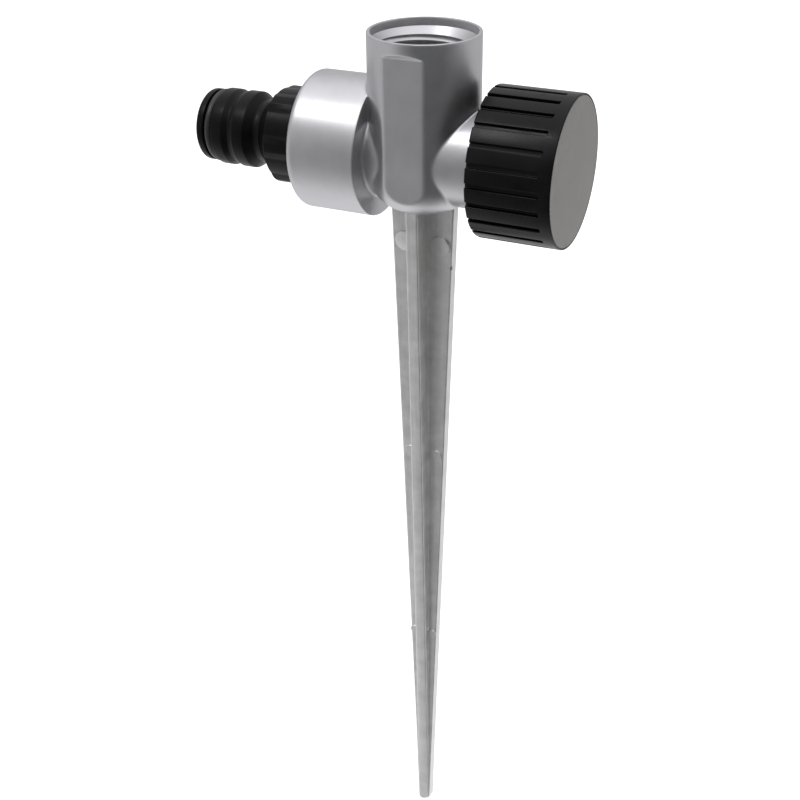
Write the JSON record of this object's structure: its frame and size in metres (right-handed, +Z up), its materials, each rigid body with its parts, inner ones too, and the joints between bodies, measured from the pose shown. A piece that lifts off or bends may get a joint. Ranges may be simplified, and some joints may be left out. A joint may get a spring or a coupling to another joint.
{
  "type": "ground spike sprinkler base",
  "caption": "Die-cast garden sprinkler base on a cross-shaped ground spike, with a hose nipple, a flow control valve turned by a ribbed knob, and a threaded outlet for a spray head.",
  "frame": {"origin": "on the spike's axis at the ground line, which is the underside of the body, where the spike leaves it", "axes": "+Z up the outlet tube, +X along the water pipe from the hose nipple towards the knob, -Y towards the front wrench flat"},
  "size_m": [0.0895, 0.0334, 0.225],
  "materials": {
    "silver_casting": "satin silver paint on a zinc die casting",
    "spike_casting": "thin silver paint over a rough zinc casting skin",
    "nipple_plastic": "black moulded plastic, soft sheen",
    "knob_plastic": "black moulded plastic, satin",
    "disc_grey": "matte warm grey with a fine grain",
    "seal_rubber": "black nitrile rubber",
    "fibre": "red fibre gasket sheet",
    "turned_brass": "turned brass",
    "stainless": "bright stainless steel",
    "acetal": "natural acetal"
  },
  "bodies": {
    "base": {"body_casting": "silver_casting", "ground_spike": "spike_casting", "inlet_nipple": "nipple_plastic", "nipple_o_ring": "seal_rubber", "nipple_gasket": "seal_rubber", "valve_bonnet": "turned_brass", "bonnet_gasket": "fibre"},
    "knob_assembly": {"spindle": "turned_brass", "spindle_o_ring_inner": "seal_rubber", "spindle_o_ring_outer": "seal_rubber", "thrust_washer": "acetal", "retaining_clip": "stainless", "knob": "knob_plastic", "knob_screw": "stainless", "knob_screw_washer": "stainless", "knob_cover_disc": "disc_grey"},
    "plug_assembly": {"valve_plug": "acetal", "seat_washer": "seal_rubber", "seat_washer_screw": "stainless"}
  },
  "joints": [
    {"name": "knob_turn", "type": "hinge", "parent": "base", "child": "knob_assembly", "pos_m": [0, 0, 0.0125], "axis": [1, 0, 0], "range_deg": [0, 900]},
    {"name": "plug_slide", "type": "slide", "parent": "base", "child": "plug_assembly", "axis": [1, 0, 0], "range_m": [0, 0.00375]}
  ],
  "couplings": [
    {"joint": "plug_slide", "follows": "knob_turn", "m_per_rad": 0.00023873}
  ]
}
